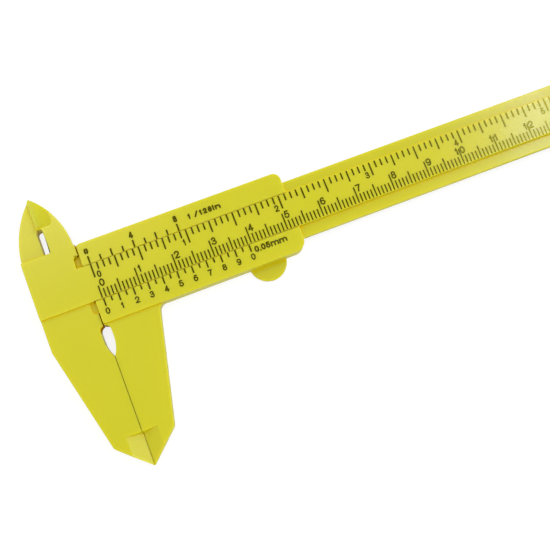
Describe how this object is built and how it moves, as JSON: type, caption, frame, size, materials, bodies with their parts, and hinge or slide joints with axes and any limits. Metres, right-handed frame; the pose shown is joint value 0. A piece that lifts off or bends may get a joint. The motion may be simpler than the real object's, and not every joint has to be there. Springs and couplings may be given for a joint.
{
  "type": "plastic vernier caliper",
  "caption": "Yellow plastic vernier caliper with outside and inside jaws, a sliding vernier frame with a thumb tab, a depth rod, and millimetre and inch scales.",
  "frame": {"origin": "middle of the closed caliper's outline, on the plane that it lies on", "axes": "+X along the beam towards its free end, +Y towards the inside jaws, +Z out of the printed face"},
  "size_m": [0.1914, 0.0742, 0.005],
  "materials": {
    "yellow_plastic": "satin injection moulding",
    "scale_ink": "dark printed ink"
  },
  "bodies": {
    "fixed_frame": {"beam": "yellow_plastic"},
    "vernier_slide": {"slider": "yellow_plastic", "depth_rod": "yellow_plastic"}
  },
  "joints": [
    {"name": "slide", "type": "slide", "parent": "fixed_frame", "child": "vernier_slide", "axis": [1, 0, 0], "range_m": [0, 0.15]}
  ]
}
